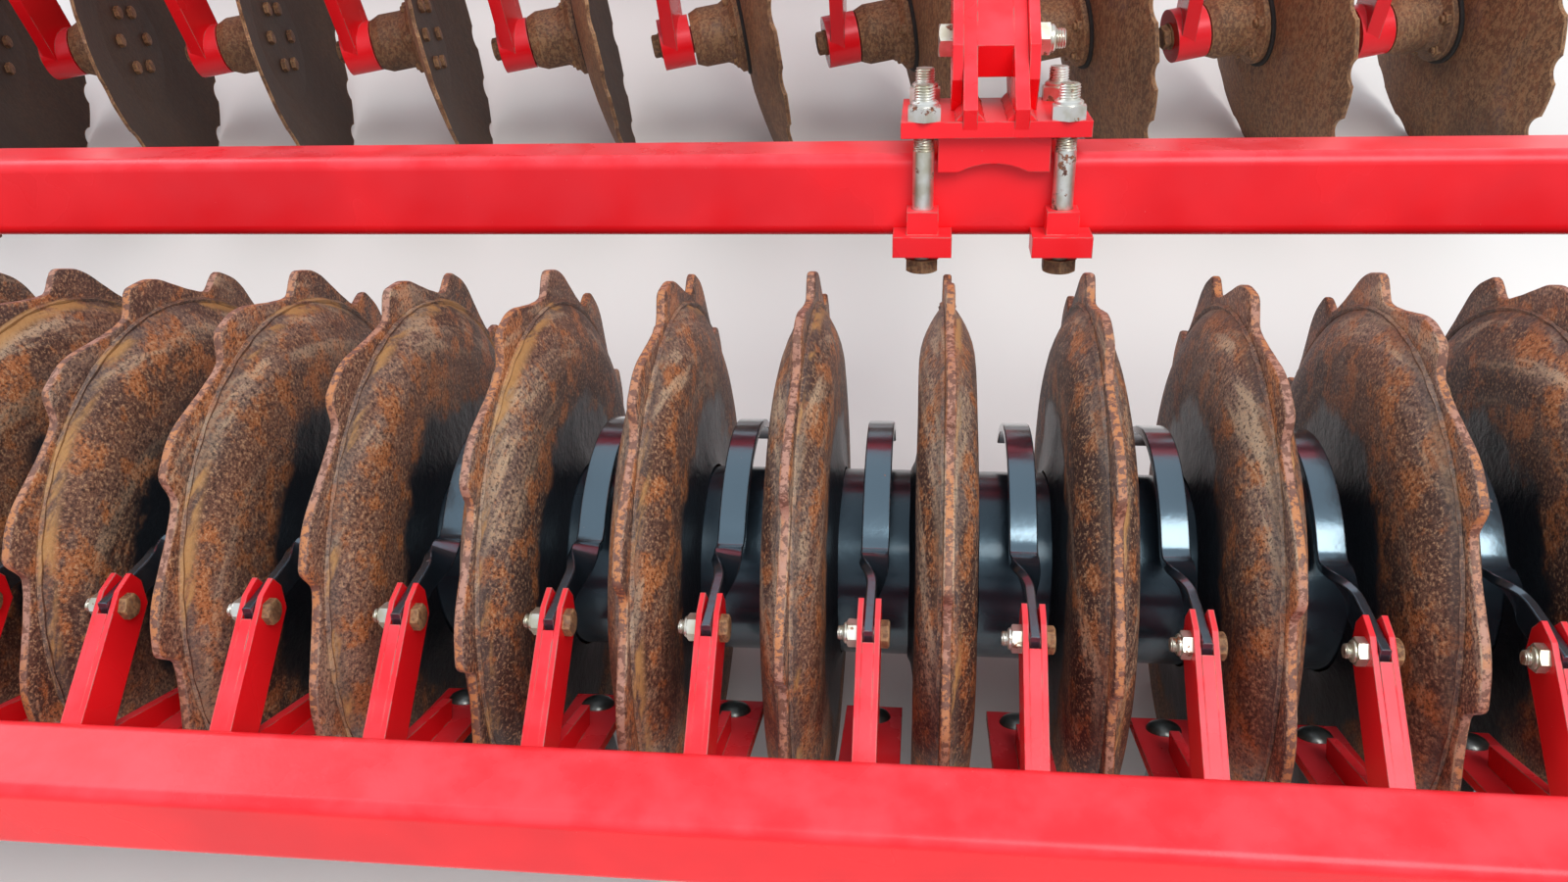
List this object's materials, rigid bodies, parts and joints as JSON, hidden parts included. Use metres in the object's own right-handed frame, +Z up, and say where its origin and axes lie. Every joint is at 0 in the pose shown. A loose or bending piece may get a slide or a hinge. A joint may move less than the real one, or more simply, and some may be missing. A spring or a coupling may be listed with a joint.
{
  "type": "mounted compact disc harrow",
  "caption": "Tractor-mounted compact disc harrow with two opposed rows of notched discs on rubber-sprung arms and a rear toothed packer roller with scrapers.",
  "frame": {"origin": "on the ground, under the middle of the machine's box", "axes": "+X to the right across the machine, +Y the travel direction, +Z up"},
  "size_m": [2.8814, 2.831, 1.215],
  "materials": {
    "red_paint": "glossy signal red",
    "black_paint": "glossy black",
    "rusty_steel": "rust over worn steel",
    "zinc_steel": "dull zinc plating",
    "cast_housing": "black enamel on cast iron",
    "bush_rubber": "matt rubber"
  },
  "bodies": {
    "frame": {"front_crossbeam": "red_paint", "rear_crossbeam": "red_paint", "frame_rails": "red_paint", "frame_caps": "red_paint", "hitch_lugs": "red_paint", "hitch_pins": "zinc_steel", "mast_head": "red_paint", "mast_legs": "red_paint", "mast_brace": "red_paint", "housings_front": "red_paint", "housings_rear": "red_paint", "clamp_straps": "red_paint", "rubber_bushes": "bush_rubber", "disc_arms_front": "red_paint", "disc_arms_rear": "red_paint", "depth_quadrants": "red_paint", "pivot_pins": "zinc_steel"},
    "roller_frame": {"roller_arms": "red_paint", "guide_pins": "zinc_steel", "clamp_brackets": "red_paint", "clamp_feet": "red_paint", "clamp_bolts": "zinc_steel", "arm_bolts": "zinc_steel", "toolbar": "red_paint", "end_plates": "red_paint", "roller_bearings": "cast_housing", "scraper_beam": "red_paint", "scraper_arms": "red_paint", "scraper_tongues": "red_paint", "scraper_straps": "black_paint", "scraper_knives": "black_paint", "scraper_bolts": "zinc_steel"},
    "roller": {"drum": "black_paint", "rings": "rusty_steel"},
    "disc_f1": {"disc_f1": "rusty_steel"},
    "disc_f2": {"disc_f2": "rusty_steel"},
    "disc_f3": {"disc_f3": "rusty_steel"},
    "disc_f4": {"disc_f4": "rusty_steel"},
    "disc_f5": {"disc_f5": "rusty_steel"},
    "disc_f6": {"disc_f6": "rusty_steel"},
    "disc_f7": {"disc_f7": "rusty_steel"},
    "disc_f8": {"disc_f8": "rusty_steel"},
    "disc_f9": {"disc_f9": "rusty_steel"},
    "disc_f10": {"disc_f10": "rusty_steel"},
    "disc_r1": {"disc_r1": "rusty_steel"},
    "disc_r2": {"disc_r2": "rusty_steel"},
    "disc_r3": {"disc_r3": "rusty_steel"},
    "disc_r4": {"disc_r4": "rusty_steel"},
    "disc_r5": {"disc_r5": "rusty_steel"},
    "disc_r6": {"disc_r6": "rusty_steel"},
    "disc_r7": {"disc_r7": "rusty_steel"},
    "disc_r8": {"disc_r8": "rusty_steel"},
    "disc_r9": {"disc_r9": "rusty_steel"},
    "disc_r10": {"disc_r10": "rusty_steel"},
    "disc_r11": {"disc_r11": "rusty_steel"}
  },
  "joints": [
    {"name": "roller_depth", "type": "hinge", "parent": "frame", "child": "roller_frame", "pos_m": [0, 0.1055, 0.72929], "axis": [1, 0, 0], "range_deg": [-9, 2]},
    {"name": "roller_spin", "type": "hinge", "parent": "roller_frame", "child": "roller", "pos_m": [0, -1.0495, 0.2768], "axis": [1, 0, 0], "continuous": true},
    {"name": "disc_f1_spin", "type": "hinge", "parent": "frame", "child": "disc_f1", "pos_m": [-1.1475, 0.8455, 0.22833], "axis": [-0.9692, 0.2417, 0.0471], "continuous": true},
    {"name": "disc_f2_spin", "type": "hinge", "parent": "frame", "child": "disc_f2", "pos_m": [-0.8925, 0.8455, 0.22833], "axis": [-0.9692, 0.2417, 0.0471], "continuous": true},
    {"name": "disc_f3_spin", "type": "hinge", "parent": "frame", "child": "disc_f3", "pos_m": [-0.6375, 0.8455, 0.22833], "axis": [-0.9692, 0.2417, 0.0471], "continuous": true},
    {"name": "disc_f4_spin", "type": "hinge", "parent": "frame", "child": "disc_f4", "pos_m": [-0.3825, 0.8455, 0.22833], "axis": [-0.9692, 0.2417, 0.0471], "continuous": true},
    {"name": "disc_f5_spin", "type": "hinge", "parent": "frame", "child": "disc_f5", "pos_m": [-0.1275, 0.8455, 0.22833], "axis": [-0.9692, 0.2417, 0.0471], "continuous": true},
    {"name": "disc_f6_spin", "type": "hinge", "parent": "frame", "child": "disc_f6", "pos_m": [0.1275, 0.8455, 0.22833], "axis": [-0.9692, 0.2417, 0.0471], "continuous": true},
    {"name": "disc_f7_spin", "type": "hinge", "parent": "frame", "child": "disc_f7", "pos_m": [0.3825, 0.8455, 0.22833], "axis": [-0.9692, 0.2417, 0.0471], "continuous": true},
    {"name": "disc_f8_spin", "type": "hinge", "parent": "frame", "child": "disc_f8", "pos_m": [0.6375, 0.8455, 0.22833], "axis": [-0.9692, 0.2417, 0.0471], "continuous": true},
    {"name": "disc_f9_spin", "type": "hinge", "parent": "frame", "child": "disc_f9", "pos_m": [0.8925, 0.8455, 0.22833], "axis": [-0.9692, 0.2417, 0.0471], "continuous": true},
    {"name": "disc_f10_spin", "type": "hinge", "parent": "frame", "child": "disc_f10", "pos_m": [1.1475, 0.8455, 0.22833], "axis": [-0.9692, 0.2417, 0.0471], "continuous": true},
    {"name": "disc_r1_spin", "type": "hinge", "parent": "frame", "child": "disc_r1", "pos_m": [-1.275, -0.0345, 0.22833], "axis": [0.9692, 0.2417, 0.0471], "continuous": true},
    {"name": "disc_r2_spin", "type": "hinge", "parent": "frame", "child": "disc_r2", "pos_m": [-1.02, -0.0345, 0.22833], "axis": [0.9692, 0.2417, 0.0471], "continuous": true},
    {"name": "disc_r3_spin", "type": "hinge", "parent": "frame", "child": "disc_r3", "pos_m": [-0.765, -0.0345, 0.22833], "axis": [0.9692, 0.2417, 0.0471], "continuous": true},
    {"name": "disc_r4_spin", "type": "hinge", "parent": "frame", "child": "disc_r4", "pos_m": [-0.51, -0.0345, 0.22833], "axis": [0.9692, 0.2417, 0.0471], "continuous": true},
    {"name": "disc_r5_spin", "type": "hinge", "parent": "frame", "child": "disc_r5", "pos_m": [-0.255, -0.0345, 0.22833], "axis": [0.9692, 0.2417, 0.0471], "continuous": true},
    {"name": "disc_r6_spin", "type": "hinge", "parent": "frame", "child": "disc_r6", "pos_m": [0, -0.0345, 0.22833], "axis": [0.9692, 0.2417, 0.0471], "continuous": true},
    {"name": "disc_r7_spin", "type": "hinge", "parent": "frame", "child": "disc_r7", "pos_m": [0.255, -0.0345, 0.22833], "axis": [0.9692, 0.2417, 0.0471], "continuous": true},
    {"name": "disc_r8_spin", "type": "hinge", "parent": "frame", "child": "disc_r8", "pos_m": [0.51, -0.0345, 0.22833], "axis": [0.9692, 0.2417, 0.0471], "continuous": true},
    {"name": "disc_r9_spin", "type": "hinge", "parent": "frame", "child": "disc_r9", "pos_m": [0.765, -0.0345, 0.22833], "axis": [0.9692, 0.2417, 0.0471], "continuous": true},
    {"name": "disc_r10_spin", "type": "hinge", "parent": "frame", "child": "disc_r10", "pos_m": [1.02, -0.0345, 0.22833], "axis": [0.9692, 0.2417, 0.0471], "continuous": true},
    {"name": "disc_r11_spin", "type": "hinge", "parent": "frame", "child": "disc_r11", "pos_m": [1.275, -0.0345, 0.22833], "axis": [0.9692, 0.2417, 0.0471], "continuous": true}
  ]
}
